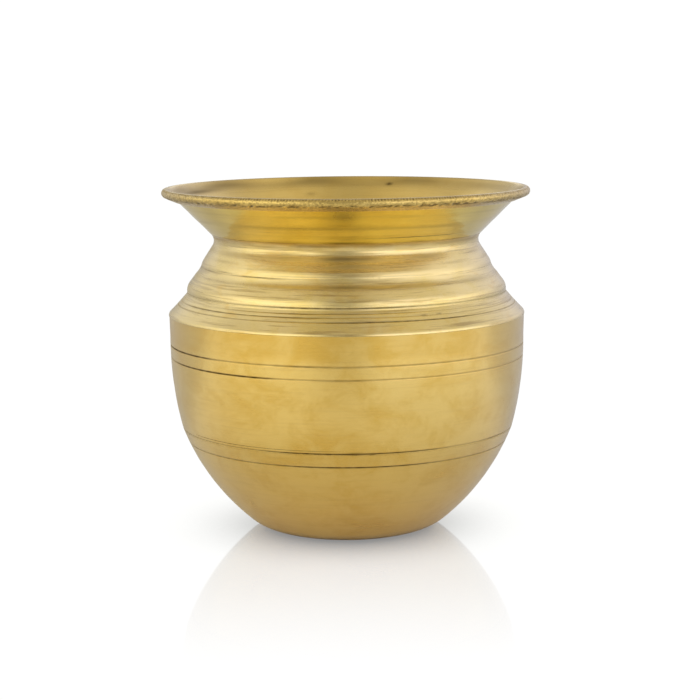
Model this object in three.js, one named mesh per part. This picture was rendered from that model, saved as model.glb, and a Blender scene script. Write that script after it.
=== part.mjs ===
// A small sheet-brass kalash, the round water pot of the Indian household and puja shelf.
// Four spun shells are lapped and brazed: a bowl, a belly band, a ribbed shoulder and a flared mouth.
// Millimetres, +Z up. The origin is the centre of the foot, on the surface that the pot stands on.
// Every outline is drawn in the plane of the pot's axis: x is the radius and y is the height.

import * as THREE from 'three';

// Sheet and joints
const SHEET = 0.6;                 // thickness of the brass sheet
const GAP = 0.3;                   // clearance between two pieces
const LAP = SHEET + GAP;           // how far a tucked wall lies inside the wall that covers it
const TUCK = 4;                    // how much of a wall is hidden inside its neighbour
const FILLET = 1.2;                // leg of the spelter fillet in each joint

// Facets
const SEGMENTS = 48;               // around the pot
const SIDE_STEPS = 5;              // along a tall curved side
const HEEL_STEPS = 4;              // round the heel
const RIB_STEPS = 2;               // over a rib or a short curve
const NECK_STEPS = 5;              // round the hollow of the neck
const HEM_STEPS = 7;               // round the rolled hem
const WIRE_SIDES = 8;              // around the wire's section

// Foot and bowl
const DISH_RADIUS = 9;             // pressed-in centre of the foot
const DISH_RISE = 0.8;
const FOOT_INNER = 13.5;           // the flat ring that the pot stands on
const FOOT_OUTER = 21;
const HEEL_RADIUS = 14.8;          // round corner between the foot and the bowl's side
const HEEL_TURN = 0.75;            // how far that corner turns upwards
const BOWL_BOW = 68;               // radius of the bowl's side

// Belly
const BOWL_SEAM = point(50.1, 31.3);
const BELLY_WIDEST = point(53.4, 59);
const BELLY_BOW = 103;              // radius of the belly's side
const BELLY_TOP = point(53.55, 65.3);

// Shoulder, ribs and neck
const EDGE_PROUD = 0.15;           // how far the rolled shoulder edge stands out past the belly
const CONE_FOOT = point(53.45, 66.1);
const EDGE_BOW = 1.2;              // radius of the rolled shoulder edge
const CONE_BOW = 80;               // the cone is slightly hollow
const LOWER_NOTCH = point(48.1, 71.9);
const LOWER_RIB_FOOT = point(48.1, 72.75);
const LOWER_RIB_TOP = point(47.15, 75.3);
const LOWER_RIB_BOW = 4.1;
const LOWER_SWEEP_FOOT = point(45.4, 77.6);
const SWEEP_BOW = 8.3;             // hollow that runs up from the lower rib
const UPPER_NOTCH = point(43.7, 80.15);
const UPPER_RIB_TOP = point(42.8, 82.15);
const UPPER_RIB_BOW = 5.4;
const NECK_RADIUS = 39.8;
const NECK_HEIGHT = 87.6;
const NECK_BOW = 3;                // radius of the hollow at the neck
const NECK_TURN = 0.61;            // how far that hollow turns below the narrowest point

// Mouth and its rolled hem
const FLARE_ANGLE = Math.PI / 4;
const RIM_RADIUS = 55.3;
const WIRE_RADIUS = 0.4;
const LIP_ANGLE = 0.38;            // slope of the hem's lip, back down towards the flare
const LIP_GAP = 0.15;              // opening left between the lip and the flare
const SKIRT = 3.6;                 // length of the mouth's skirt below the narrowest point

// Scribed lines, as small V-shaped cuts
const SCRIBE_DEPTH = 0.2;
const SCRIBE_HALF_WIDTH = 0.3;
const BOWL_SCRIBE = 27.4;
const BELLY_SCRIBES = [53, 56.75];

function point(radius, height) {
  return new THREE.Vector2(radius, height);
}

function polar(centre, radius, angle) {
  return point(centre.x + radius * Math.cos(angle), centre.y + radius * Math.sin(angle));
}

function direction(from, to) {
  return to.clone().sub(from).normalize();
}

function leftOf(heading) {
  return point(-heading.y, heading.x);
}

// Points on a circular arc, after start and up to end. A positive bow swells to the right of the way.
function arc(start, end, bow, steps) {
  const half = start.distanceTo(end) / 2;
  const apothem = Math.sign(bow) * Math.sqrt(bow * bow - half * half);
  const middle = start.clone().lerp(end, 0.5);
  const centre = middle.addScaledVector(leftOf(direction(start, end)), apothem);
  const sweep = 2 * Math.asin(half / bow);
  return turn(start, centre, sweep, steps);
}

// Points on the arc that start makes as it turns around centre.
function turn(start, centre, sweep, steps) {
  const points = [];
  for (let step = 1; step <= steps; step += 1) {
    points.push(start.clone().rotateAround(centre, (sweep * step) / steps));
  }
  return points;
}

// The line that runs beside an outline, on the pot's inner side.
function beside(outline, distance) {
  const last = outline.length - 1;
  return outline.map((corner, i) => {
    const arriving = leftOf(direction(outline[Math.max(i - 1, 0)], outline[Math.max(i, 1)]));
    const leaving = leftOf(direction(outline[Math.min(i, last - 1)], outline[Math.min(i + 1, last)]));
    const mitre = arriving.add(leaving);
    return corner.clone().addScaledVector(mitre, (2 * distance) / mitre.lengthSq());
  });
}

// The outline with a V-shaped cut wherever it passes one of the heights.
function scribe(outline, heights) {
  const cut = [outline[0]];
  for (let i = 1; i < outline.length; i += 1) {
    const [from, to] = [outline[i - 1], outline[i]];
    const heading = direction(from, to);
    for (const height of heights.filter((each) => each > from.y && each < to.y)) {
      const middle = from.clone().lerp(to, (height - from.y) / (to.y - from.y));
      cut.push(middle.clone().addScaledVector(heading, -SCRIBE_HALF_WIDTH));
      cut.push(middle.clone().addScaledVector(leftOf(heading), SCRIBE_DEPTH));
      cut.push(middle.clone().addScaledVector(heading, SCRIBE_HALF_WIDTH));
    }
    cut.push(to);
  }
  return cut;
}

// The hidden end of a wall: short of its neighbour's edge, in by one lap, then along the neighbour.
function tuckInside(edge, along) {
  const inward = leftOf(along).multiplyScalar(-Math.sign(leftOf(along).x));
  const stop = edge.clone().addScaledVector(along, -GAP);
  const step = stop.clone().addScaledVector(inward, LAP);
  return [stop, step, step.clone().addScaledVector(along, TUCK + GAP)];
}

// A solid of revolution. A closed outline gives a ring; one that starts on the axis gives a dish.
function revolve(outline) {
  const onAxis = outline[0].x === 0;
  const profile = onAxis ? outline : [...outline, outline[0]];
  const geometry = new THREE.LatheGeometry(profile, SEGMENTS);
  return geometry.rotateX(Math.PI / 2);
}

// A shell of sheet inside an outline, with scribed lines at the given heights.
function sheetShell(outline, lines = []) {
  return revolve([...scribe(outline, lines), ...beside(outline, SHEET).reverse()]);
}

// Spelter in the corner between a wall and the end of the sheet tucked against it. Along is the way
// that the tucked sheet runs, and tip is the corner of its end that faces the wall.
function fillet(tip, along) {
  const inward = leftOf(along).multiplyScalar(-Math.sign(leftOf(along).x));
  const corner = tip.clone().addScaledVector(along, GAP);
  const legs = [
    corner.clone().addScaledVector(along, FILLET),
    corner.clone().addScaledVector(inward, FILLET),
  ];
  return revolve(along.y > 0 ? [corner, ...legs] : [corner, ...legs.reverse()]);
}

const brass = new THREE.MeshStandardMaterial({ color: 0xc9a348, metalness: 1, roughness: 0.35 });
const spelter = new THREE.MeshStandardMaterial({ color: 0xb8913c, metalness: 1, roughness: 0.5 });
const wireBrass = new THREE.MeshStandardMaterial({ color: 0xbf9a44, metalness: 1, roughness: 0.4 });

const bellyOutline = [
  BOWL_SEAM,
  ...arc(BOWL_SEAM, BELLY_WIDEST, BELLY_BOW, SIDE_STEPS),
  BELLY_TOP,
];

const neckCentre = point(NECK_RADIUS + NECK_BOW, NECK_HEIGHT);
const neckFoot = polar(neckCentre, NECK_BOW, Math.PI + NECK_TURN);
const neckSeam = polar(neckCentre, NECK_BOW, Math.PI - FLARE_ANGLE);
const upTheFlare = point(Math.cos(FLARE_ANGLE), Math.sin(FLARE_ANGLE));
const flareStart = neckSeam.clone().addScaledVector(upTheFlare, GAP);

// The wire lies where the flare's underside just clears it and the hem reaches the rim's radius.
const wireCentre = (() => {
  const cavity = WIRE_RADIUS + GAP;
  const radius = RIM_RADIUS - cavity - SHEET;
  const drop = cavity / Math.cos(FLARE_ANGLE);
  const height = neckSeam.y + (radius - neckSeam.x) * Math.tan(FLARE_ANGLE) - drop;
  return point(radius, height);
})();

function baseBowl() {
  const heelStart = point(FOOT_OUTER, 0);
  const heel = turn(heelStart, point(FOOT_OUTER, HEEL_RADIUS), HEEL_TURN, HEEL_STEPS);
  const [stop, step, lip] = tuckInside(BOWL_SEAM, direction(bellyOutline[0], bellyOutline[1]));
  const outline = [
    point(0, DISH_RISE),
    point(DISH_RADIUS, DISH_RISE),
    point(FOOT_INNER, 0),
    heelStart,
    ...heel,
    ...arc(heel.at(-1), stop, BOWL_BOW, SIDE_STEPS),
    step,
    lip,
  ];
  return sheetShell(outline, [BOWL_SCRIBE]);
}

function bellyBand() {
  return sheetShell(bellyOutline, BELLY_SCRIBES);
}

function shoulderRing() {
  const downTheBelly = direction(bellyOutline.at(-1), bellyOutline.at(-2));
  const [stop, step, skirt] = tuckInside(BELLY_TOP, downTheBelly);
  const edge = point(stop.x + EDGE_PROUD, stop.y);
  const outline = [
    skirt,
    step,
    edge,
    ...arc(edge, CONE_FOOT, EDGE_BOW, RIB_STEPS),
    ...arc(CONE_FOOT, LOWER_NOTCH, -CONE_BOW, RIB_STEPS),
    LOWER_RIB_FOOT,
    ...arc(LOWER_RIB_FOOT, LOWER_RIB_TOP, LOWER_RIB_BOW, RIB_STEPS),
    LOWER_SWEEP_FOOT,
    ...arc(LOWER_SWEEP_FOOT, UPPER_NOTCH, -SWEEP_BOW, RIB_STEPS),
    ...arc(UPPER_NOTCH, UPPER_RIB_TOP, UPPER_RIB_BOW, RIB_STEPS),
    neckFoot,
    ...turn(neckFoot, neckCentre, -NECK_TURN - FLARE_ANGLE, NECK_STEPS),
  ];
  return sheetShell(outline);
}

function mouthFlare() {
  const skirtTop = point(NECK_RADIUS - LAP, NECK_HEIGHT);
  const hemStart = polar(wireCentre, WIRE_RADIUS + GAP, Math.PI / 2 + FLARE_ANGLE);
  const hem = turn(hemStart, wireCentre, -Math.PI - FLARE_ANGLE + LIP_ANGLE, HEM_STEPS);
  const outline = [
    point(skirtTop.x, skirtTop.y - SKIRT),
    skirtTop,
    ...turn(skirtTop, neckCentre, -FLARE_ANGLE, RIB_STEPS),
    flareStart,
    hemStart,
    ...hem,
    lipEnd(hem.at(-1)),
  ];
  return sheetShell(outline);
}

// Where the hem's lip stops, just clear of the flare's underside.
function lipEnd(lipStart) {
  const aboveLip = leftOf(upTheFlare).dot(neckSeam.clone().sub(lipStart));
  const length = (aboveLip - LIP_GAP) / Math.sin(FLARE_ANGLE - LIP_ANGLE);
  return polar(lipStart, length, Math.PI + LIP_ANGLE);
}

function rimWire() {
  const geometry = new THREE.TorusGeometry(wireCentre.x, WIRE_RADIUS, WIRE_SIDES, SEGMENTS);
  return geometry.translate(0, 0, wireCentre.y);
}

function bowlBraze() {
  const along = direction(bellyOutline[0], bellyOutline[1]);
  return fillet(tuckInside(BOWL_SEAM, along).at(-1), along);
}

function shoulderBraze() {
  const along = direction(bellyOutline.at(-1), bellyOutline.at(-2));
  return fillet(tuckInside(BELLY_TOP, along).at(-1), along);
}

// The mouth's skirt runs straight down while the neck widens, so spelter fills the wedge between them.
function neckBraze() {
  const [wallFoot, wallTop] = beside([UPPER_RIB_TOP, neckFoot], SHEET + GAP);
  const skirtSide = NECK_RADIUS - LAP + GAP;
  const bottom = NECK_HEIGHT - SKIRT;
  const wallBottom = wallTop.clone().lerp(wallFoot, (wallTop.y - bottom) / (wallTop.y - wallFoot.y));
  return revolve([point(skirtSide, bottom), wallBottom, wallTop, point(skirtSide, wallTop.y)]);
}

const pot = new THREE.Group();

function addPiece(name, geometry, material) {
  const mesh = new THREE.Mesh(geometry, material);
  mesh.name = name;
  pot.add(mesh);
}

addPiece('base_bowl', baseBowl(), brass);
addPiece('bowl_braze', bowlBraze(), spelter);
addPiece('belly_band', bellyBand(), brass);
addPiece('shoulder_braze', shoulderBraze(), spelter);
addPiece('shoulder_ring', shoulderRing(), brass);
addPiece('neck_braze', neckBraze(), spelter);
addPiece('mouth_flare', mouthFlare(), brass);
addPiece('rim_wire', rimWire(), wireBrass);

export default pot;
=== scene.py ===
"""The looks of a small sheet-brass kalash: turned and scribed shells, a knurled hem and a graded studio."""
import math
from typing import NamedTuple

import bpy
import numpy as np
from mathutils import Matrix, Vector

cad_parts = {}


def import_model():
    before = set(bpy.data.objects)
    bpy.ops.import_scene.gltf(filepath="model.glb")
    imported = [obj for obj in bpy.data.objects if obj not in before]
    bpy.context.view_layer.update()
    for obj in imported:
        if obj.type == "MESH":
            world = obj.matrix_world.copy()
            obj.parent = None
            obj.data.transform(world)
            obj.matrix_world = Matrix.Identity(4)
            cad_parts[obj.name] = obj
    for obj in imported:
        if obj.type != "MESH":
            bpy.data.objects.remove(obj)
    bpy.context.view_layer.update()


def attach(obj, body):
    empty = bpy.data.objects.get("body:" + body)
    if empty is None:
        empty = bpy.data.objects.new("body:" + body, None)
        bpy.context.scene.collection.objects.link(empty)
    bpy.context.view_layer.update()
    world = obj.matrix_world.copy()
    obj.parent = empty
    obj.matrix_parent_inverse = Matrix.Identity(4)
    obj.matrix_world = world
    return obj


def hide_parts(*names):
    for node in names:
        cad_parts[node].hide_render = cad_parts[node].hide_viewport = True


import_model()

# ---------------------------------------------------------------- driving dimensions, in millimetres
MM = 0.001

SHEET = 0.6                 # thickness of the brass sheet
GAP = 0.3                   # clearance inside a lap
SEAM = 0.14                 # open line where the bowl meets the belly
TIGHT_SEAM = 0.05           # closer line where the shoulder meets the belly
LAP = SHEET + GAP
TUCK = 4.0                  # how much of a wall is hidden inside its neighbour

DISH_RADIUS = 9.0
DISH_RISE = 0.8
FOOT_INNER = 13.5
FOOT_OUTER = 21.0
HEEL_RADIUS = 14.8
HEEL_TURN = 0.75
BOWL_BOW = 68.0

BOWL_SEAM = (50.1, 31.3)
BELLY_WIDEST = (53.4, 59.0)
BELLY_BOW = 103.0
BELLY_TOP = (53.55, 65.3)

EDGE_PROUD = 0.15
CONE_FOOT = (53.45, 66.1)
EDGE_BOW = 1.2
CONE_BOW = 80.0
LOWER_NOTCH = (48.1, 71.9)
LOWER_RIB_FOOT = (48.1, 72.75)
LOWER_RIB_TOP = (47.15, 75.3)
LOWER_RIB_BOW = 4.1
LOWER_SWEEP_FOOT = (45.4, 77.6)
SWEEP_BOW = 8.3
UPPER_NOTCH = (43.7, 80.15)
UPPER_RIB_TOP = (42.8, 82.15)
UPPER_RIB_BOW = 5.4
NECK_RADIUS = 39.8
NECK_HEIGHT = 87.6
NECK_BOW = 3.0
NECK_TURN = 0.61

FLARE_ANGLE = math.pi / 4
RIM_RADIUS = 55.22
WIRE_RADIUS = 0.4
LIP_ANGLE = 0.38
LIP_GAP = 0.12
SKIRT = 3.6

FILLET_ALONG = 1.2          # legs of a fillet of spelter
FILLET_ACROSS = 1.1
FILLET_BOW = 2.2
FILLET_CLEARANCE = 0.05
LUMP_SIZE = 0.05

TICK_ROW = 0.9              # where the row of ticks lies, along the hem's section from its top
TICK_WIDTH = 0.4
TICK_DEPTH = 0.16
ROPE_ROW = 3.4
ROPE_WIDTH = 0.8
ROPE_DEPTH = 0.18
GRAIN_DEPTH = 0.06

# ---------------------------------------------------------------- how finely it is meshed
AROUND = 384                # facets around a shell
KNURL_TEETH = 384           # ticks that the knurling wheel left around the hem
KNURL_FACETS = 5            # how many times finer the hem is faceted
SMOOTH_TO = 42              # edges bent by more degrees than this stay sharp

BELLY_STEPS = 20            # facets along each arc
BOWL_STEPS = 30
TURN_STEPS = 14
RIB_STEPS = 6
UPPER_RIB_STEPS = 5
SKIRT_STEPS = 8
BEAD_STEPS = 24
WIRE_STEPS = 12

BOWL_PITCH = 0.6            # longest facet along each outline
BELLY_PITCH = 0.5
SHOULDER_PITCH = 0.32
FLARE_PITCH = 0.4
LINING_PITCH = 0.5
HEM_PITCH = 0.2
INSIDE_PITCH = 0.9
FILLET_PITCH = 0.3

CUT_PLACES = (-1.5, -1, -0.6, -0.25, 0, 0.25, 0.6, 1, 1.5)     # points across a line, in half widths
CUT_CLEARANCE = 1.7

# ---------------------------------------------------------------- how it was made and worn, and its painted shade and reflections
FRONT = 1.5 * math.pi       # azimuth that faces the camera
DEEP_REACH = 0.45           # how far round, in radians, a scribed line stays deep
ROUND_REACH = 20.0          # radius from which the wall is fully out of round
WALL_RADIUS = 50.0          # about how far the walls are from the axis


class Scribe(NamedTuple):
    """A V-shaped line cut round the pot at a height. It is deepest at one azimuth and patchy elsewhere."""
    height: float
    depth: float
    half_width: float
    patchy: float
    seed: int
    darkness: float
    deepest: float = FRONT


BOWL_SCRIBES = (Scribe(27.4, 0.16, 0.3, 0.45, 5, 0.95),)
BELLY_SCRIBES = (
    Scribe(31.6, 0.12, 0.28, 0.6, 3, 1.0, FRONT + 0.07),
    Scribe(32.4, 0.05, 0.16, 1.0, 4, 0.6, FRONT - 0.6),
    Scribe(53.0, 0.17, 0.3, 0.6, 1, 1.0, FRONT - 0.75),
    Scribe(56.75, 0.18, 0.32, 0.55, 2, 1.0, FRONT - 1.25),
)
SHOULDER_SCRIBES = (
    Scribe(68.85, 0.11, 0.26, 0.5, 11, 0.85, FRONT + 0.4),
    Scribe(70.0, 0.1, 0.26, 0.6, 12, 0.7, FRONT - 0.6),
    Scribe(71.0, 0.08, 0.22, 0.7, 13, 0.6),
    Scribe(72.4, 0.12, 0.26, 0.6, 14, 0.8),
    Scribe(80.0, 0.05, 0.22, 0.95, 15, 0.7, FRONT - 1.1),
)
FLARE_SCRIBES = (Scribe(91.3, 0.05, 0.2, 0.95, 21, 0.7, FRONT + 0.45),)

# Streaks are rows of height, half width and darkness.
# The flare's rows are painted reflection bands, and the row at 100.5 is a painted shadow under the hem.
FLARE_PAINTED_BANDS = ((94.3, 0.5, 0.3), (97.6, 0.3, 0.15), (91.8, 0.25, 0.15), (100.5, 0.6, 0.5))
# The neck's rows are brown streaks, darkened at the front into a painted reflection of the dark gap; the row
# at 74.6 is painted shade over a highlight.
NECK_STREAKS_AND_SHADE = (
    (88.9, 0.5, 0.38),
    (74.6, 0.5, 0.15),
    (85.4, 0.9, 0.35),
    (83.2, 0.4, 0.25),
    (77.8, 0.8, 0.35),
    (80.6, 0.2, 0.2),
)
# Smudges, pits and spots of painted reflection are rows of azimuth, place, half width, half height and
# darkness.
# The place is a height, or a radius inside the mouth.
SEAM_SMUDGES = ((FRONT + 0.04, 31.6, 2.4, 0.45, 0.9), (FRONT + 0.14, 31.5, 1.0, 0.4, 0.9))
# The three at the front, at 85.4, 83.7 and 78.0, are a painted dark reflection of the gap; the others are
# marks.
NECK_MARKS_AND_REFLECTION = (
    (FRONT + 0.45, 70.0, 0.7, 0.25, 0.8),
    (FRONT + 0.55, 70.1, 1.0, 0.2, 0.7),
    (FRONT - 0.04, 85.4, 7.0, 0.45, 0.35),
    (FRONT + 0.03, 83.7, 5.0, 0.3, 0.3),
    (FRONT - 0.02, 78.0, 8.0, 0.5, 0.35),
    (FRONT - 0.95, 80.4, 4.0, 0.15, 0.5),
)
# The flare's spots are a painted dark reflection at the front of the flare.
FLARE_PAINTED_REFLECTION = ((FRONT - 0.01, 98.2, 4.0, 2.0, 0.42), (FRONT + 0.01, 91.0, 3.5, 0.4, 0.2))
MOUTH_SMUDGES = ((1.29, 51.0, 0.9, 0.4, 0.8), (2.735, 50.6, 10.0, 0.6, 0.45), (1.81, 48.1, 1.6, 0.5, 0.3))
BROWN_BAND = (51.6, 1.5)    # radius and half width of the brown band inside the mouth


# ---------------------------------------------------------------- plane outlines: x is radius, y is height
def point(radius, height):
    return np.array([radius, height], float)


def polar(centre, radius, angle):
    return centre + radius * np.array([math.cos(angle), math.sin(angle)])


def direction(start, end):
    way = np.subtract(end, start)
    return way / np.linalg.norm(way)


def left_of(way):
    return np.array([-way[1], way[0]])


def turn(start, centre, sweep, steps):
    """Points on the arc that start makes as it turns around centre, after start."""
    spoke = np.subtract(start, centre)
    points = []
    for angle in np.linspace(0, sweep, steps + 1)[1:]:
        cos, sin = math.cos(angle), math.sin(angle)
        turned_spoke = [spoke[0] * cos - spoke[1] * sin, spoke[0] * sin + spoke[1] * cos]
        points.append(centre + np.array(turned_spoke))
    return points


def arc(start, end, bow, steps):
    """Points on a circular arc, after start and up to end. A positive bow swells to the right of the way."""
    start, end = np.array(start, float), np.array(end, float)
    half = np.linalg.norm(end - start) / 2
    apothem = math.copysign(math.sqrt(bow * bow - half * half), bow)
    centre = (start + end) / 2 + left_of(direction(start, end)) * apothem
    return turn(start, centre, 2 * math.asin(half / bow), steps)


def headings(outline):
    """Unit directions along an outline, arriving at and leaving each of its points."""
    ways = np.diff(outline, axis=0)
    ways /= np.linalg.norm(ways, axis=1)[:, None]
    return np.vstack([ways[:1], ways]), np.vstack([ways, ways[-1:]])


def normals(outline):
    """Unit normals of an outline, to the right of the way: out of the metal."""
    arriving, leaving = headings(outline)
    way = arriving + leaving
    way /= np.linalg.norm(way, axis=1)[:, None]
    return np.stack([way[:, 1], -way[:, 0]], axis=1)


def beside(outline, distance):
    """The outline's parallel on the pot's inner side."""
    outline = np.array(outline, float)
    arriving, leaving = headings(outline)
    mitre = arriving + leaving
    mitre = np.stack([-mitre[:, 1], mitre[:, 0]], axis=1)
    return outline + mitre * (2 * distance / (mitre ** 2).sum(axis=1))[:, None]


def divided(outline, pitch):
    """The same outline with its long stretches cut into steps no longer than pitch."""
    points = [outline[0]]
    for start, end in zip(outline[:-1], outline[1:]):
        steps = max(1, math.ceil(np.linalg.norm(np.subtract(end, start)) / pitch))
        points.extend(np.add(start, np.subtract(end, start) * k / steps) for k in range(1, steps + 1))
    return np.array(points)


def tuck_inside(edge, along, seam=SEAM):
    """The hidden end of a wall: short of its neighbour's edge, in by one lap, then along the neighbour."""
    inward = left_of(along)
    if inward[0] > 0:
        inward = -inward
    stop = edge - along * seam
    step = stop + inward * LAP
    return stop, step, step + along * (TUCK + seam)


BELLY_OUTLINE = [
    point(*BOWL_SEAM),
    *arc(BOWL_SEAM, BELLY_WIDEST, BELLY_BOW, BELLY_STEPS),
    point(*BELLY_TOP),
]
UP_THE_BELLY = direction(BELLY_OUTLINE[0], BELLY_OUTLINE[1])
DOWN_THE_BELLY = direction(BELLY_OUTLINE[-1], BELLY_OUTLINE[-2])
NECK_CENTRE = point(NECK_RADIUS + NECK_BOW, NECK_HEIGHT)
NECK_FOOT = polar(NECK_CENTRE, NECK_BOW, math.pi + NECK_TURN)
NECK_SEAM = polar(NECK_CENTRE, NECK_BOW, math.pi - FLARE_ANGLE)
SKIRT_TOP = point(NECK_RADIUS - LAP, NECK_HEIGHT)
UP_THE_FLARE = np.array([math.cos(FLARE_ANGLE), math.sin(FLARE_ANGLE)])
CAVITY = WIRE_RADIUS + GAP


def wire_centre():
    radius = RIM_RADIUS - CAVITY - SHEET
    flare_height = NECK_SEAM[1] + (radius - NECK_SEAM[0]) * math.tan(FLARE_ANGLE)
    return point(radius, flare_height - CAVITY / math.cos(FLARE_ANGLE))


WIRE_CENTRE = wire_centre()


# ---------------------------------------------------------------- smooth random fields
def eased(share):
    """A share from 0 to 1 that starts and ends gently."""
    return share * share * (3 - 2 * share)


def waves(angles, heights, seed, lobes, size, lean=0.1):
    """A smooth random field around the pot, with a standard deviation of about size."""
    draw = np.random.default_rng(seed)
    field = np.zeros(np.broadcast(angles, heights).shape)
    for lobe in lobes:
        phase = draw.uniform(0, 2 * math.pi)
        drift = draw.normal(0, lean)
        field += draw.normal(0, 1) * np.cos(lobe * angles + phase + drift * heights)
    return field * size / math.sqrt(len(lobes) / 2)


def ridges(heights, seed, pitch, size):
    """Random turning ridges: one smooth random value for each height."""
    draw = np.random.default_rng(seed)
    knots = np.arange(-5, 115, pitch)
    values = draw.normal(0, size, len(knots))
    place = (heights - knots[0]) / pitch
    index = np.floor(place).astype(int)
    share = eased(place - index)
    return values[index] * (1 - share) + values[index + 1] * share


def grain(angles, along, cells, pitch, slant, seed):
    """Smooth random dimples in [0, 1]: so many cells around the hem, and one every pitch along it."""
    draw = np.random.default_rng(seed)
    rows = int(along.max() / pitch) + 3
    table = draw.uniform(0, 1, (rows, cells))
    row = along / pitch + 0 * angles
    column = (angles / (2 * math.pi) * cells + slant * along) % cells
    top, left = np.floor(row).astype(int), np.floor(column).astype(int)
    down, across = eased(row - top), eased(column - left)
    left, right = left % cells, (left + 1) % cells
    upper = table[top, left] * (1 - across) + table[top, right] * across
    lower = table[top + 1, left] * (1 - across) + table[top + 1, right] * across
    return upper * (1 - down) + lower * down


def out_of_round(angles, heights):
    """How far the hand-beaten wall strays from a true circle."""
    oval = waves(angles, heights, 3, (2, 3, 4), 0.05, 0.02)
    dents = waves(angles, heights, 4, range(5, 11), 0.012, 0.08)
    return oval + dents


# ---------------------------------------------------------------- scribed lines
def cut_lines(outline, scribes):
    """The outline with points across each scribed line."""
    for line in scribes:
        index = int(np.argmax(outline[:, 1] >= line.height))
        start, end = outline[index - 1], outline[index]
        middle = start + (end - start) * (line.height - start[1]) / (end[1] - start[1])
        way = direction(start, end)
        keep = np.linalg.norm(outline - middle, axis=1) > CUT_CLEARANCE * line.half_width
        before = [p for p, ok in zip(outline[:index], keep[:index]) if ok]
        across = [middle + way * line.half_width * place for place in CUT_PLACES]
        after = [p for p, ok in zip(outline[index:], keep[index:]) if ok]
        outline = np.array(before + across + after)
    return outline


def line_strength(angles, line):
    """How deep a scribed line is around the pot, from faint to full."""
    sweep = waves(angles, 0.0, 50 + line.seed, range(2, 12), 0.5)
    away = np.abs((angles - line.deepest + math.pi) % (2 * math.pi) - math.pi)
    return 1 - line.patchy * (0.5 + 0.5 * np.tanh(2.0 * (sweep + away / DEEP_REACH - 1)))


def scribed(outline, angles, scribes):
    """Depth and darkness of the scribed lines, at each point of the outline and each angle."""
    depth = np.zeros((len(outline), len(angles)))
    dark = np.zeros_like(depth)
    for line in scribes:
        middle = outline[np.argmin(np.abs(outline[:, 1] - line.height))]
        away = np.linalg.norm(outline - middle, axis=1) / line.half_width
        shape = np.clip(1 - away, 0, 1)[:, None]
        pitted = 1 + waves(angles, 0.0, 90 + line.seed, range(40, 120, 3), 0.06)
        strength = (line_strength(angles, line) * pitted)[None, :]
        depth += line.depth * shape * strength
        dark = np.maximum(dark, line.darkness * np.clip(1.25 - away, 0, 1)[:, None] * strength)
    return depth, dark


# ---------------------------------------------------------------- surface relief: how proud, and how dark
def turned(seed, size=1.0):
    """Relief of a turned and hand-polished wall."""
    def relief(outline, angles):
        heights = outline[:, 1]
        lift = ridges(heights, seed, 2.7, 0.014 * size) + ridges(heights, seed + 1, 0.9, 0.004 * size)
        lift = lift * np.clip(heights / 2, 0, 1)
        fade = 0.75 + 0.25 * waves(angles[None, :], heights[:, None], seed + 2, (1, 2, 3), 1.0, 0.05)
        return lift[:, None] * fade, np.zeros((len(outline), len(angles)))
    return relief


def dark_spots(angles, place, spots):
    """Darkness of soft-edged spots: smudges and pits, and on the neck and flare also painted dark
    reflection.
    """
    dark = 0
    for azimuth, middle, width, size, darkness in spots:
        sideways = (angles - azimuth) * WALL_RADIUS / width
        dark = dark + darkness * np.exp(-sideways ** 2 - ((place - middle) / size) ** 2)
    return dark


def streaked(seed, size, streaks, spots=()):
    """Relief of a turned wall, with dark bands round it that are strongest in front, and dark spots. The
    bands are partly brown streaks and partly painted shade and reflection.
    """
    def relief(outline, angles):
        lift, dark = turned(seed, size)(outline, angles)
        heights = outline[:, 1:]
        angles = angles[None, :]
        # painted: the bands darken most at the front, where the brass reflects the dark gap before it
        facing = np.clip(np.cos(angles - FRONT), 0, 1) ** 12
        for height, width, darkness in streaks:
            sweep = waves(angles, heights, seed + round(height), range(1, 14), 0.35, 0.2)
            strength = np.clip(0.45 + 0.55 * facing + sweep, 0, 1.2)
            dark = dark + darkness * strength * np.exp(-((heights - height) / width) ** 2)
        dark = dark + dark_spots(angles, heights, spots)
        return lift, np.clip(dark, 0, 1)
    return relief


def aged_mouth(outline, angles):
    """Relief of the wall inside the mouth, with a brown band below the hem and a few smudges."""
    lift, dark = turned(42)(outline, angles)
    radius = outline[:, :1]
    angles = angles[None, :]
    cloud = waves(angles, radius, 43, range(1, 12), 0.5, 0.6)
    middle, width = BROWN_BAND
    band = np.exp(-((radius - middle - 0.5 * cloud) / width) ** 2)
    dark = dark + band * np.clip(0.42 + 0.25 * cloud, 0, 1)
    dark = dark + dark_spots(angles, radius, MOUTH_SMUDGES)
    return lift, np.clip(dark, 0, 1)


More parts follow.
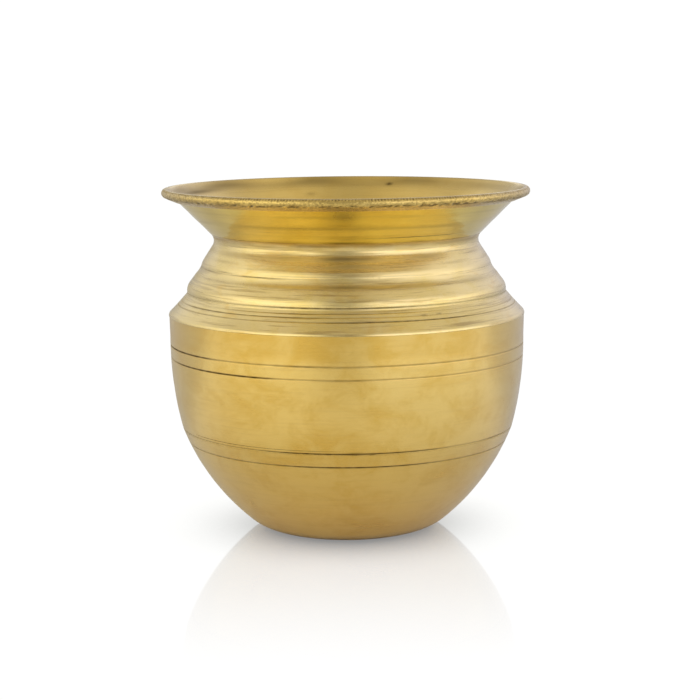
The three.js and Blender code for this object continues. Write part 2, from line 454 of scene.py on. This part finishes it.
def knurled(outline, angles):
    """What the knurling wheel left: a row of ticks on top, fine grain, and a crowded rope at the bottom."""
    along = np.concatenate([[0], np.cumsum(np.linalg.norm(np.diff(outline, axis=0), axis=1))])[:, None]
    angles = angles[None, :]
    pressure = np.clip(0.85 + waves(angles, along, 80, range(1, 25), 0.2, 0.0), 0.35, 1)
    coarse = grain(angles, along, KNURL_TEETH, 0.5, 1.0, 77)
    fine = grain(angles, along, 2 * KNURL_TEETH, 0.3, 0.0, 78)
    tick = np.clip(0.45 + 0.8 * np.cos(KNURL_TEETH * angles), 0, 1)
    tick = tick * (0.35 + 0.65 * grain(angles, along, KNURL_TEETH // 2, 6.0, 0.0, 79))
    tick = tick * np.exp(-((along - TICK_ROW) / TICK_WIDTH) ** 2) * pressure
    rope = np.clip(2.2 * coarse - 0.5, 0, 1) * np.exp(-((along - ROPE_ROW) / ROPE_WIDTH) ** 2) * pressure
    ends = np.clip(along / 0.4, 0, 1) * np.clip((along[-1] - along) / 0.6, 0, 1)
    lift = -TICK_DEPTH * tick - ROPE_DEPTH * rope - GRAIN_DEPTH * fine * ends
    dark = ends * (0.08 + 0.5 * fine ** 2) + 0.8 * tick + 0.65 * rope
    return lift, np.clip(dark, 0, 1)


def lumpy(seed):
    """Relief of cast spelter."""
    def relief(outline, angles):
        field = waves(angles[None, :], outline[:, 1:], seed, range(9, 60, 3), LUMP_SIZE, 0.4)
        return np.minimum(field, LUMP_SIZE), np.clip(field * 4, 0, 0.5)
    return relief


def reversed_relief(relief):
    """The same relief for an outline that runs the other way."""
    def swapped(outline, angles):
        lift, dark = relief(outline[::-1], angles)
        return lift[::-1], dark[::-1]
    return swapped


# ---------------------------------------------------------------- meshes of revolution
def span(start, count, j, factor):
    """Vertices of a ring from its share j to its share j + 1."""
    return [start + (j * factor + k) % count for k in range(factor + 1)]


def ring_faces(first, first_count, second, second_count):
    """Faces between two rings of vertices, whose counts may differ by a whole factor."""
    if first_count == 1:
        return [(first, second + (j + 1) % second_count, second + j) for j in range(second_count)]
    if second_count == 1:
        return [(first + j, first + (j + 1) % first_count, second) for j in range(first_count)]
    shares = min(first_count, second_count)
    faces = []
    for j in range(shares):
        low = span(first, first_count, j, first_count // shares)
        high = span(second, second_count, j, second_count // shares)
        faces.append(tuple(low + high[::-1]))
    return faces


class Lathe:
    """Rings of vertices, turned from outlines and sewn into one mesh."""

    def __init__(self, closed):
        self.closed = closed
        self.rings = []
        self.points = []
        self.grime_and_shade = []
        self.paints = []
        self.size = 0

    def add(self, outline, count=AROUND, scribes=(), relief=None, paint=0):
        """Turns an outline. Its relief is measured along the normal, out of the metal."""
        outline = np.array(outline, float)
        angles = 2 * math.pi * np.arange(count) / count
        depth, dark = scribed(outline, angles, scribes)
        lift = -depth
        if relief is not None:
            more_lift, more_dark = relief(outline, angles)
            lift = lift + more_lift
            dark = np.maximum(dark, more_dark)
        way = normals(outline)
        radius = outline[:, :1] + way[:, :1] * lift
        height = outline[:, 1:] + way[:, 1:] * lift
        share = np.clip(outline[:, :1] / ROUND_REACH, 0, 1)
        radius = radius + share * out_of_round(angles[None, :], height)
        for i in range(len(outline)):
            self.add_ring(radius[i], height[i], angles, dark[i])
            self.paints.append(paint)

    def add_ring(self, radius, height, angles, dark):
        """Adds one ring, or a single vertex where the outline meets the axis."""
        on_axis = abs(radius).max() < 1e-6
        if on_axis:
            radius, height, angles, dark = radius[:1], height[:1], angles[:1], dark[:1]
        self.rings.append((self.size, len(angles)))
        self.points.append(np.stack([radius * np.cos(angles), radius * np.sin(angles), height], axis=1))
        self.grime_and_shade.append(dark)
        self.size += len(angles)

    def sewn(self):
        """All faces, and the number of the material on each."""
        faces = []
        painted = []
        follow = self.rings[1:] + (self.rings[:1] if self.closed else [])
        for paint, ring, next_ring in zip(self.paints, self.rings, follow):
            strip = ring_faces(*ring, *next_ring)
            faces.extend(strip)
            painted.extend([paint] * len(strip))
        return faces, painted

    def build(self, name, *materials):
        faces, painted = self.sewn()
        mesh = bpy.data.meshes.new(name)
        mesh.from_pydata((np.vstack(self.points) * MM).tolist(), [], faces)
        # darkness per vertex: old polish in cuts and knurling, and painted shade and reflection bands
        grime_and_shade = mesh.attributes.new("grime_and_shade", "FLOAT", "POINT")
        grime_and_shade.data.foreach_set("value", np.concatenate(self.grime_and_shade).astype(np.float32))
        mesh.shade_smooth()
        mesh.set_sharp_from_angle(angle=math.radians(SMOOTH_TO))
        for material in materials:
            mesh.materials.append(material)
        mesh.polygons.foreach_set("material_index", painted)
        piece = bpy.data.objects.new(name, mesh)
        bpy.context.scene.collection.objects.link(piece)
        return piece


def finish_piece(piece, node):
    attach(piece, "root")
    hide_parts(node)


# ---------------------------------------------------------------- node trees
class Nodes:
    """Short calls for a node tree."""

    def __init__(self, tree):
        self.tree = tree

    def new(self, kind, **settings):
        node = self.tree.nodes.new("ShaderNode" + kind)
        for key, value in settings.items():
            setattr(node, key, value)
        return node

    def put(self, socket, value):
        if isinstance(value, bpy.types.NodeSocket):
            self.tree.links.new(value, socket)
        else:
            socket.default_value = value

    def math(self, operation, a, b=0.0, clamp=False):
        node = self.new("Math", operation=operation, use_clamp=clamp)
        self.put(node.inputs[0], a)
        self.put(node.inputs[1], b)
        return node.outputs[0]

    def times(self, a, b):
        return self.math("MULTIPLY", a, b)

    def spread(self, value, low, high, to_low=0.0, to_high=1.0):
        """A smooth step, from to_low where value is low to to_high where it is high."""
        node = self.new("MapRange", interpolation_type="SMOOTHSTEP")
        self.put(node.inputs["Value"], value)
        self.put(node.inputs["From Min"], low)
        self.put(node.inputs["From Max"], high)
        self.put(node.inputs["To Min"], to_low)
        self.put(node.inputs["To Max"], to_high)
        return node.outputs["Result"]

    def mix(self, share, a, b):
        node = self.new("Mix", data_type="RGBA", blend_type="MIX")
        self.put(node.inputs["Factor"], share)
        self.put(node.inputs["A"], a)
        self.put(node.inputs["B"], b)
        return node.outputs["Result"]

    def split(self, vector):
        node = self.new("SeparateXYZ")
        self.put(node.inputs[0], vector)
        return node.outputs

    def noise(self, where, scale, detail=3.0, rough=0.55, warp=0.0):
        node = self.new("TexNoise")
        self.put(node.inputs["Vector"], where)
        node.inputs["Scale"].default_value = scale
        node.inputs["Detail"].default_value = detail
        node.inputs["Roughness"].default_value = rough
        node.inputs["Distortion"].default_value = warp
        return node.outputs["Fac"]

    def stretched(self, where, scale, offset=(0, 0, 0)):
        node = self.new("Mapping")
        self.put(node.inputs["Vector"], where)
        node.inputs["Scale"].default_value = scale
        node.inputs["Location"].default_value = offset
        return node.outputs[0]

    def bump(self, height, distance, strength, below=None):
        node = self.new("Bump")
        self.put(node.inputs["Height"], height)
        node.inputs["Distance"].default_value = distance
        node.inputs["Strength"].default_value = strength
        if below is not None:
            self.put(node.inputs["Normal"], below)
        return node.outputs[0]

    def for_camera(self, seen, otherwise):
        """The first shader for what the camera sees directly, and the other for reflections and light."""
        pick = self.new("MixShader")
        self.put(pick.inputs[0], self.new("LightPath").outputs["Is Camera Ray"])
        self.put(pick.inputs[1], otherwise)
        self.put(pick.inputs[2], seen)
        return pick.outputs[0]


def blank_material(name):
    material = bpy.data.materials.new(name)
    material.use_nodes = True
    n = Nodes(material.node_tree)
    return material, n, n.tree.nodes["Principled BSDF"]


def rgb(red, green, blue):
    return (red, green, blue, 1.0)


# ---------------------------------------------------------------- brass
AMBER = rgb(0.80, 0.50, 0.09)
# LIMB_SHEEN is a painted pale sheen, mixed in where the metal is seen edge on
LIMB_SHEEN = rgb(0.84, 0.73, 0.50)
OLD_POLISH_AND_SHADE = rgb(0.07, 0.04, 0.01)
# Tints are a bright, a deep and a brown colour.
GOLDEN = (rgb(0.94, 0.67, 0.20), rgb(0.85, 0.56, 0.125), rgb(0.60, 0.37, 0.10))
PALE = (rgb(0.91, 0.715, 0.31), rgb(0.88, 0.675, 0.235), rgb(0.50, 0.35, 0.12))
BRIGHT = (rgb(0.99, 0.745, 0.135), rgb(0.94, 0.69, 0.10), rgb(0.60, 0.38, 0.07))
LINING = (rgb(0.88, 0.63, 0.19), rgb(0.84, 0.585, 0.16), rgb(0.50, 0.33, 0.09))
SPELTER = (rgb(0.60, 0.43, 0.16), rgb(0.52, 0.35, 0.11), rgb(0.30, 0.18, 0.05))

FINE_RINGS = (10, 10, 5200)             # how often a pattern repeats per metre, along each axis
WIDE_RINGS = (40, 40, 1300)
CLOUDS = 80.0
PATCHES = 75.0
FRECKLES = 900.0
FINE_RING_DEPTH = 0.000008              # in metres
WIDE_RING_DEPTH = 0.00003
BUMP_STRENGTH = 0.5
STAIN_RISE = 0.003                      # height over which a stain sets in, in metres
STAIN_SHARE = 0.65
LIMB_SHEEN_SHARE = 0.4                        # how much painted pale sheen the metal gets where it is seen edge on
BELLY_STAIN = 0.0565                    # heights above which it is stained, in metres
NECK_STAIN = 0.0868
NO_STAIN = 1.0                          # well above the pot


class Finish(NamedTuple):
    """How a piece's brass looks."""
    tint: tuple
    polish: float               # the shader's roughness where it is clean
    tarnish: float              # strength of the amber patches and freckles
    streaky: float              # strength of the brown rings
    seed: float
    stained_from: float = NO_STAIN


def brass_colour(n, where, clouds, rings, finish):
    """Cloudy tarnish, darker rings, amber patches, freckles, a stain above a height, and a painted pale
    sheen where the metal is seen edge on.
    """
    patch_place = n.stretched(where, (1, 1, 2.5), (finish.seed, 0, finish.seed))
    patch = n.noise(patch_place, PATCHES, 4.0, 0.6, 0.6)
    freckle = n.noise(where, FRECKLES, 2.0, 0.5)
    limb = n.new("LayerWeight").outputs["Facing"]
    bright, deep, brown = finish.tint
    base = n.mix(n.spread(clouds, 0.4, 0.7), bright, deep)
    base = n.mix(n.spread(rings, 0.5, 0.66, 0, finish.streaky), base, brown)
    base = n.mix(n.spread(patch, 0.55, 0.68, 0, 0.5 * finish.tarnish), base, AMBER)
    height = n.split(where)[2]
    stain = n.spread(height, finish.stained_from, finish.stained_from + STAIN_RISE, 0, STAIN_SHARE)
    stain = n.times(stain, n.spread(clouds, 0.3, 0.65, 0.35, 1.0))
    base = n.mix(stain, base, AMBER)
    base = n.mix(n.spread(freckle, 0.66, 0.78, 0, 0.35 * finish.tarnish), base, brown)
    # painted sheen: the colour turns paler where the surface is seen edge on
    return n.mix(n.spread(limb, 0.15, 0.85, 0, LIMB_SHEEN_SHARE), base, LIMB_SHEEN)


def brass(name, finish):
    """Lathe-turned brass, with fine rings, with dark old polish in the cut lines, and with painted shade and
    reflections where the relief darkens it.
    """
    material, n, shader = blank_material(name)
    seed = finish.seed
    where = n.new("TexCoord").outputs["Object"]
    grime_and_shade = n.new("Attribute", attribute_name="grime_and_shade").outputs["Fac"]
    fine_rings = n.noise(n.stretched(where, FINE_RINGS, (0, seed, 0)), 1.0, 4.0, 0.7)
    wide_rings = n.noise(n.stretched(where, WIDE_RINGS, (0, 0, seed)), 1.0, 4.0, 0.65)
    clouds = n.noise(n.stretched(where, (1, 1, 1.3), (seed, seed, 0)), CLOUDS, 5.0, 0.65, 0.4)
    base = brass_colour(n, where, clouds, wide_rings, finish)
    # darkened toward old polish in the cuts, and toward painted shade and reflection on the flare and neck
    base = n.mix(n.math("MULTIPLY", grime_and_shade, 0.92, clamp=True), base, OLD_POLISH_AND_SHADE)
    n.put(shader.inputs["Base Color"], base)
    rough = n.spread(clouds, 0.3, 0.75, finish.polish - 0.03, finish.polish + 0.05)
    rough = n.math("ADD", rough, n.spread(fine_rings, 0.4, 0.7, 0, 0.05))
    rough = n.math("ADD", rough, n.times(grime_and_shade, 0.45))
    n.put(shader.inputs["Roughness"], rough)
    shader.inputs["Metallic"].default_value = 1.0
    soft = n.bump(wide_rings, WIDE_RING_DEPTH, BUMP_STRENGTH)
    n.put(shader.inputs["Normal"], n.bump(fine_rings, FINE_RING_DEPTH, BUMP_STRENGTH, soft))
    return material


BODY_BRASS = brass("body_brass", Finish(GOLDEN, 0.2, 0.5, 0.12, 0.0, BELLY_STAIN))
NECK_BRASS = brass("neck_brass", Finish(PALE, 0.2, 0.75, 0.75, 5.0, NECK_STAIN))
MOUTH_BRASS = brass("mouth_brass", Finish(BRIGHT, 0.10, 0.3, 0.2, 9.0))
LINING_BRASS = brass("lining_brass", Finish(LINING, 0.17, 0.4, 0.15, 6.0))
SPELTER_BRASS = brass("braze_spelter", Finish(SPELTER, 0.45, 1.0, 0.5, 3.0))
WIRE_BRASS = brass("wire_brass", Finish(PALE, 0.35, 0.6, 0.3, 7.0))


# ---------------------------------------------------------------- pieces
def add_outside(lathe, outline, pitch, scribes, relief):
    lathe.add(cut_lines(divided(outline, pitch), scribes), scribes=scribes, relief=relief)


def add_inside(lathe, outline, seed):
    lathe.add(divided(beside(outline, SHEET)[::-1], INSIDE_PITCH), relief=turned(seed))


def base_bowl():
    heel_start = point(FOOT_OUTER, 0)
    heel = turn(heel_start, point(FOOT_OUTER, HEEL_RADIUS), HEEL_TURN, TURN_STEPS)
    stop, step, lip = tuck_inside(BELLY_OUTLINE[0], UP_THE_BELLY)
    foot = [point(0, DISH_RISE), point(DISH_RADIUS, DISH_RISE), point(FOOT_INNER, 0), heel_start]
    outline = [*foot, *heel, *arc(heel[-1], stop, BOWL_BOW, BOWL_STEPS), step, lip]
    lathe = Lathe(closed=False)
    add_outside(lathe, outline, BOWL_PITCH, BOWL_SCRIBES, turned(11))
    add_inside(lathe, outline, 12)
    finish_piece(lathe.build("base_bowl_turned", BODY_BRASS), "base_bowl")


def belly_band():
    lathe = Lathe(closed=True)
    add_outside(lathe, BELLY_OUTLINE, BELLY_PITCH, BELLY_SCRIBES, streaked(21, 1.0, (), SEAM_SMUDGES))
    add_inside(lathe, BELLY_OUTLINE, 22)
    finish_piece(lathe.build("belly_band_turned", BODY_BRASS), "belly_band")


def shoulder_outline():
    stop, step, skirt = tuck_inside(BELLY_OUTLINE[-1], DOWN_THE_BELLY, TIGHT_SEAM)
    edge = stop + point(EDGE_PROUD, 0)
    return [
        skirt,
        step,
        edge,
        *arc(edge, CONE_FOOT, EDGE_BOW, RIB_STEPS),
        *arc(CONE_FOOT, LOWER_NOTCH, -CONE_BOW, RIB_STEPS),
        point(*LOWER_RIB_FOOT),
        *arc(LOWER_RIB_FOOT, LOWER_RIB_TOP, LOWER_RIB_BOW, RIB_STEPS),
        point(*LOWER_SWEEP_FOOT),
        *arc(LOWER_SWEEP_FOOT, UPPER_NOTCH, -SWEEP_BOW, RIB_STEPS),
        *arc(UPPER_NOTCH, UPPER_RIB_TOP, UPPER_RIB_BOW, UPPER_RIB_STEPS),
        NECK_FOOT,
        *turn(NECK_FOOT, NECK_CENTRE, -NECK_TURN - FLARE_ANGLE, TURN_STEPS),
    ]


def shoulder_ring():
    outline = shoulder_outline()
    relief = streaked(31, 1.6, NECK_STREAKS_AND_SHADE, NECK_MARKS_AND_REFLECTION)
    lathe = Lathe(closed=True)
    add_outside(lathe, outline, SHOULDER_PITCH, SHOULDER_SCRIBES, relief)
    add_inside(lathe, outline, 32)
    finish_piece(lathe.build("shoulder_ring_turned", NECK_BRASS), "shoulder_ring")


def lip_end(lip_start):
    """Where the hem's lip stops, just short of the flare."""
    above = left_of(UP_THE_FLARE) @ (NECK_SEAM - lip_start)
    length = (above - LIP_GAP) / math.sin(FLARE_ANGLE - LIP_ANGLE)
    return polar(lip_start, length, math.pi + LIP_ANGLE)


def mouth_flare():
    bead_start = polar(WIRE_CENTRE, CAVITY, math.pi / 2 + FLARE_ANGLE)
    bead = turn(bead_start, WIRE_CENTRE, -math.pi - FLARE_ANGLE + LIP_ANGLE, BEAD_STEPS)
    under = [
        SKIRT_TOP - point(0, SKIRT),
        SKIRT_TOP,
        *turn(SKIRT_TOP, NECK_CENTRE, -FLARE_ANGLE, SKIRT_STEPS),
        NECK_SEAM + UP_THE_FLARE * SEAM,
        bead_start,
        *bead,
        lip_end(bead[-1]),
    ]
    over = beside(under, SHEET)
    knurl_from = len(over) - len(bead) + 3
    hem = divided(over[knurl_from:][::-1], HEM_PITCH)
    lining = divided(over[:knurl_from][::-1], LINING_PITCH)
    lathe = Lathe(closed=True)
    add_outside(lathe, under, FLARE_PITCH, FLARE_SCRIBES, streaked(41, 3.0, FLARE_PAINTED_BANDS, FLARE_PAINTED_REFLECTION))
    lathe.add(hem, count=AROUND * KNURL_FACETS, relief=reversed_relief(knurled), paint=1)
    lathe.add(lining, relief=reversed_relief(aged_mouth), paint=1)
    finish_piece(lathe.build("mouth_flare_knurled", MOUTH_BRASS, LINING_BRASS), "mouth_flare")


def rim_wire():
    lathe = Lathe(closed=True)
    lathe.add([polar(WIRE_CENTRE, WIRE_RADIUS, 2 * math.pi * k / WIRE_STEPS) for k in range(WIRE_STEPS)])
    finish_piece(lathe.build("rim_wire_drawn", WIRE_BRASS), "rim_wire")


def braze(name, tip, along, inward, seed):
    """A lumpy fillet of spelter in the corner between a wall and the sheet tucked against it."""
    corner = tip + along * FILLET_CLEARANCE
    legs = [corner + along * FILLET_ALONG, corner + inward * FILLET_ACROSS]
    section = divided([corner, legs[0], *arc(*legs, FILLET_BOW, RIB_STEPS), corner], FILLET_PITCH)[:-1]
    if along[1] < 0:
        section = section[::-1]
    lathe = Lathe(closed=True)
    lathe.add(section, relief=lumpy(seed))
    finish_piece(lathe.build(name + "_spelter", SPELTER_BRASS), name)


def brazes():
    bowl_lip = tuck_inside(BELLY_OUTLINE[0], UP_THE_BELLY)[2]
    shoulder_skirt = tuck_inside(BELLY_OUTLINE[-1], DOWN_THE_BELLY)[2]
    braze("bowl_braze", bowl_lip, UP_THE_BELLY, left_of(UP_THE_BELLY), 61)
    braze("shoulder_braze", shoulder_skirt, DOWN_THE_BELLY, -left_of(DOWN_THE_BELLY), 62)
    braze("neck_braze", SKIRT_TOP - point(0, SKIRT), point(0, -1), point(-1, 0), 63)


base_bowl()
belly_band()
shoulder_ring()
mouth_flare()
rim_wire()
brazes()


# ---------------------------------------------------------------- studio, in metres
# A fade is a smooth step: from, to, and where they are given, the values before and after.
FLOOR_HALF = 6.0
FLOOR_ROUGHNESS = 0.3
FLOOR_SHADE_NEAR = (0.04, 0.14, 0.78, 0.96)          # painted shade: darker near the pot, by distance from the pot's axis
FLOOR_SHADE_BEHIND = (0.0, 0.1, 1.0, 0.66)            # painted shade: darker behind the pot, by place behind it
FLOOR_ACROSS = (-0.02, 0.1)                     # by place from left to right: a painted tint, warm on the left and cool on the right like the banks
FLOOR_LEFT = rgb(1, 1, 0.96)
FLOOR_RIGHT = rgb(0.96, 1, 1.08)
FLOOR_GLOW = 1.02
MIRROR_SHARE = 0.31                             # how much of the floor's look is its mirror image
MIRROR_TINT = rgb(1.0, 1.0, 0.95)
MIRROR_ROUGHNESS = 0.05
MIRROR_AHEAD = (-0.16, -0.01, 0.0, MIRROR_SHARE)
MIRROR_BEHIND = (0.03, 0.15, 1.0, 0.0)
MIRROR_ASIDE = (0.06, 0.11, 1.0, 0.0)
SHADOW_REACH = 0.06
SHADOW = (0.0, 0.72, 0.36, 1.0)                 # painted shadow, by how open the floor is to the sky

BANK_GLOW = 0.88
ROOM_GLOW = 0.42
BACKDROP_GLOW = 0.6
CEILING_GLOW = 0.2
SEEN_GLOW = 1.1
RIGHT_RISE = (0.02, 0.42)                       # by how far a direction points to the side
LEFT_RISE = (0.1, 0.55)
RIGHT_END = (1.4, 2.5)                          # by azimuth away from the camera's side, in radians
LEFT_END = (1.2, 2.4)
BEHIND_SHARE = (0.05, 0.4, 0.25, 0.5)           # how much of the banks is left behind the pot, by height
RIGHT_DIMMING = (0.25, 0.5, 1.0, 0.85)          # by height, which is the sine of the rise above the horizon
BANK_DIMMING = ((0.2, 0.45, 1.0, 0.86), (0.58, 0.74, 1.0, 0.5), (0.74, 1.0, 1.0, 0.12))
BACKDROP_WIDTH = (2.87, 2.95)
BACKDROP_FOOT = (0.15, 0.2)
BACKDROP_TOP = (0.4, 0.46, 1.0, 0.0)
CEILING_WIDTH = (0.05, 0.3, 0.4, 1.0)
CEILING_HEIGHT = (0.75, 0.96, 0.0, CEILING_GLOW)
LEFT_TO_RIGHT = (0.0, 0.6)
UP_TO_CEILING = (0.55, 0.9)
WHITE = rgb(1, 1, 1)
BLACK = rgb(0, 0, 0)
LEFT_COLOUR = rgb(1.0, 0.985, 0.95)
RIGHT_COLOUR = rgb(1.0, 1.0, 1.15)
CEILING_COLOUR = rgb(1.0, 0.95, 0.86)

POT_MIDDLE = (0, 0, 0.06)
CAMERA_PLACE = (0.0009, -0.560, 0.1385)
CAMERA_PITCH = 8.626                            # degrees below level
CAMERA_ROLL = 0.45
LENS = 95.67                                    # focal length, in millimetres
SENSOR = 36.0


def floor():
    """A glossy white sheet, which the camera sees lit up, with a painted soft shadow and a fading mirror
    image; to the brass it has painted shade near and behind the pot and a painted tint of the light.
    """
    material, n, shader = blank_material("white_sweep")
    shader.inputs["Roughness"].default_value = FLOOR_ROUGHNESS
    shader.inputs["IOR"].default_value = 1.5
    where = n.new("TexCoord").outputs["Object"]
    across, behind, _ = n.split(where)
    distance = n.new("VectorMath", operation="LENGTH")
    n.put(distance.inputs[0], where)
    # painted shade in the colour that the brass sees: darker near and behind the pot
    white = n.times(n.spread(distance.outputs["Value"], *FLOOR_SHADE_NEAR), n.spread(behind, *FLOOR_SHADE_BEHIND))
    tint = n.mix(n.spread(across, *FLOOR_ACROSS), FLOOR_LEFT, FLOOR_RIGHT)
    n.put(shader.inputs["Base Color"], n.mix(white, BLACK, tint))
    seen = floor_seen(n, across, behind)
    surface = n.for_camera(seen, shader.outputs[0])
    n.put(n.tree.nodes["Material Output"].inputs["Surface"], surface)
    mesh = bpy.data.meshes.new("floor")
    places = [(x * FLOOR_HALF, y * FLOOR_HALF, 0) for x, y in ((-1, -1), (1, -1), (1, 1), (-1, 1))]
    mesh.from_pydata(places, [], [(0, 1, 2, 3)])
    mesh.materials.append(material)
    plane = bpy.data.objects.new("floor", mesh)
    bpy.context.scene.collection.objects.link(plane)


def floor_seen(n, across, behind):
    """The floor as the camera sees it: a white glow, less a painted shadow from how open it is, plus a
    mirror image.
    """
    mirror = n.times(n.spread(behind, *MIRROR_AHEAD), n.spread(behind, *MIRROR_BEHIND))
    mirror = n.times(mirror, n.spread(n.math("ABSOLUTE", across), *MIRROR_ASIDE))
    openness = n.new("AmbientOcclusion")
    openness.inputs["Distance"].default_value = SHADOW_REACH
    # painted shadow: the glow dims where the pot closes the floor in
    lit = n.spread(openness.outputs["AO"], *SHADOW)
    glow = n.new("Emission")
    n.put(glow.inputs["Strength"], n.times(lit, n.math("SUBTRACT", FLOOR_GLOW, mirror)))
    gloss = n.new("BsdfGlossy")
    n.put(gloss.inputs["Color"], n.mix(mirror, BLACK, MIRROR_TINT))
    n.put(gloss.inputs["Roughness"], MIRROR_ROUGHNESS)
    both = n.new("AddShader")
    n.put(both.inputs[0], glow.outputs[0])
    n.put(both.inputs[1], gloss.outputs[0])
    return both.outputs[0]


def bank(n, side, azimuth, rise, end, behind):
    """How strongly a white bank lights each way: it grows to the side, and a share of it is left behind."""
    return n.times(n.spread(side, *rise), n.spread(azimuth, *end, 1.0, behind))


def banks_light(n, side, azimuth, height):
    """The two banks together, which grow dimmer with height."""
    behind = n.spread(height, *BEHIND_SHARE)
    right = bank(n, side, azimuth, RIGHT_RISE, RIGHT_END, behind)
    left = bank(n, n.times(side, -1.0), n.times(azimuth, -1.0), LEFT_RISE, LEFT_END, behind)
    right = n.times(right, n.spread(height, *RIGHT_DIMMING))
    banks = n.math("ADD", left, right)
    for fade in BANK_DIMMING:
        banks = n.times(banks, n.spread(height, *fade))
    return banks


def background(n, colour, strength):
    shade = n.new("Background")
    n.put(shade.inputs["Color"], colour)
    n.put(shade.inputs["Strength"], strength)
    return shade.outputs[0]


def world():
    """Two white banks with a dim gap between them, dimmer behind and overhead. The camera sees white."""
    surroundings = bpy.data.worlds.new("studio")
    surroundings.use_nodes = True
    n = Nodes(surroundings.node_tree)
    n.tree.nodes.remove(n.tree.nodes["Background"])
    side, depth, height = n.split(n.new("TexCoord").outputs["Generated"])
    azimuth = n.math("ARCTAN2", side, n.times(depth, -1.0))
    banks = banks_light(n, side, azimuth, height)
    backdrop = n.spread(n.math("ABSOLUTE", azimuth), *BACKDROP_WIDTH)
    backdrop = n.times(backdrop, n.spread(height, *BACKDROP_FOOT))
    backdrop = n.times(backdrop, n.spread(height, *BACKDROP_TOP))
    overhead = n.spread(n.math("ABSOLUTE", side), *CEILING_WIDTH)
    overhead = n.times(overhead, n.spread(height, *CEILING_HEIGHT))
    glow = n.math("ADD", n.times(banks, BANK_GLOW), ROOM_GLOW)
    glow = n.math("ADD", glow, n.times(backdrop, BACKDROP_GLOW))
    glow = n.math("ADD", glow, overhead)
    colour = n.mix(n.spread(azimuth, *LEFT_TO_RIGHT), LEFT_COLOUR, RIGHT_COLOUR)
    colour = n.mix(n.spread(height, *UP_TO_CEILING), colour, CEILING_COLOUR)
    colour = n.mix(backdrop, colour, WHITE)
    surface = n.for_camera(background(n, WHITE, SEEN_GLOW), background(n, colour, glow))
    n.put(n.tree.nodes["World Output"].inputs["Surface"], surface)
    bpy.context.scene.world = surroundings


def softbox(name, place, width, height, power):
    light = bpy.data.lights.new(name, "AREA")
    light.shape = "RECTANGLE"
    light.size = width
    light.size_y = height
    light.energy = power
    lamp = bpy.data.objects.new(name, light)
    lamp.location = place
    way = Vector(np.subtract(POT_MIDDLE, place))
    lamp.rotation_euler = way.to_track_quat("-Z", "Y").to_euler()
    bpy.context.scene.collection.objects.link(lamp)


def camera():
    lens = bpy.data.cameras.new("camera")
    lens.sensor_width = SENSOR
    lens.lens = LENS
    lens.clip_end = 50
    viewer = bpy.data.objects.new("camera", lens)
    tilt = Matrix.Rotation(math.radians(90 - CAMERA_PITCH), 4, "X")
    roll = Matrix.Rotation(math.radians(-CAMERA_ROLL), 4, "Z")
    viewer.matrix_world = Matrix.Translation(CAMERA_PLACE) @ tilt @ roll
    bpy.context.scene.collection.objects.link(viewer)
    bpy.context.scene.camera = viewer


floor()
world()
softbox("left_box", (-1.5, -1.0, 0.7), 1.6, 1.0, 0.2)
softbox("right_box", (1.2, -1.2, 0.7), 1.2, 1.0, 0.15)
camera()
bpy.context.scene.view_settings.view_transform = "Standard"
